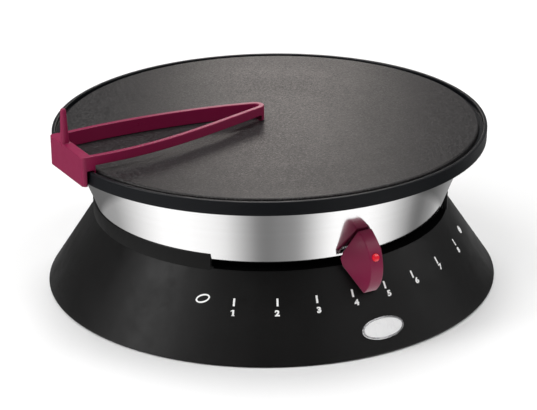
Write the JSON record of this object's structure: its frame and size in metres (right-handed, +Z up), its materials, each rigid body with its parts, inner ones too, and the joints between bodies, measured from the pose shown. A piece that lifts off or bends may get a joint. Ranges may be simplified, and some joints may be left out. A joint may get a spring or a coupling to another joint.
{
  "type": "electric crepe maker",
  "caption": "Round electric hotplate for crepes on a polished bowl and black conical base, with a sliding heat selector at the waist and a batter spreader turning on the rim.",
  "frame": {"origin": "on the table surface, under the centre of the round base", "axes": "+Z up; -Y is the front, where the heat selector's middle and the badge are; +X is to the right"},
  "size_m": [0.3566, 0.3566, 0.1665],
  "materials": {
    "black_plastic": "satin",
    "band_black": "satin",
    "nonstick": "satin",
    "bowl_steel": "polished",
    "zinc_steel": "satin",
    "reflector_sheet": "satin",
    "element_steel": "matte",
    "raspberry_plastic": "satin",
    "badge_face": "satin",
    "badge_edge": "polished",
    "white_print": "matte",
    "rubber": "matte",
    "bush_rubber": "matte",
    "nylon": "satin",
    "white_ceramic": "matte",
    "copper": "satin",
    "lamp_glass": "gloss",
    "lens_red": "gloss",
    "wire_brown": "satin",
    "wire_blue": "satin",
    "wire_green": "satin",
    "wire_white": "matte"
  },
  "bodies": {
    "root": {"base_shell": "black_plastic", "bottom_cover": "black_plastic", "rubber_feet": "rubber", "cover_screws": "zinc_steel", "badge_plate": "badge_face", "badge_rim": "badge_edge", "scale_marks": "white_print", "cord_bush": "bush_rubber", "cord_clamp": "nylon", "clamp_screws": "zinc_steel", "terminal_block": "white_ceramic", "steel_bowl": "bowl_steel", "bowl_screws": "zinc_steel", "chassis_plate": "zinc_steel", "chassis_grommet": "bush_rubber", "earth_screw": "copper", "spindle_bush": "nylon", "plate_studs": "zinc_steel", "stud_nuts": "zinc_steel", "lower_spacers": "zinc_steel", "upper_spacers": "zinc_steel", "heat_reflector": "reflector_sheet", "heating_element": "element_steel", "element_insulators": "white_ceramic", "clamp_ring": "zinc_steel", "ring_screws": "zinc_steel", "rim_band": "band_black", "cooking_plate": "nonstick", "thermostat": "white_ceramic", "thermostat_strap": "zinc_steel", "strap_screws": "zinc_steel", "sensor_slug": "copper", "thermal_fuse": "zinc_steel", "fuse_clip": "zinc_steel", "wire_live": "wire_brown", "wire_neutral": "wire_blue", "wire_earth": "wire_green", "wire_link": "wire_white"},
    "selector": {"selector_spindle": "zinc_steel", "selector_arm": "zinc_steel", "spindle_nut": "zinc_steel", "lamp_holder": "nylon", "holder_screws": "zinc_steel", "pilot_lamp": "lamp_glass", "pilot_lens": "lens_red", "lamp_leads": "wire_white", "knob_shell": "raspberry_plastic"},
    "spreader": {"batter_spreader": "raspberry_plastic"}
  },
  "joints": [
    {"name": "selector_turn", "type": "hinge", "parent": "root", "child": "selector", "pos_m": [0, 0, 0.063], "axis": [0, 0, 1], "range_deg": [-45.5, 51]},
    {"name": "spreader_turn", "type": "hinge", "parent": "root", "child": "spreader", "pos_m": [0, 0, 0.127], "axis": [0, 0, 1], "continuous": true}
  ]
}
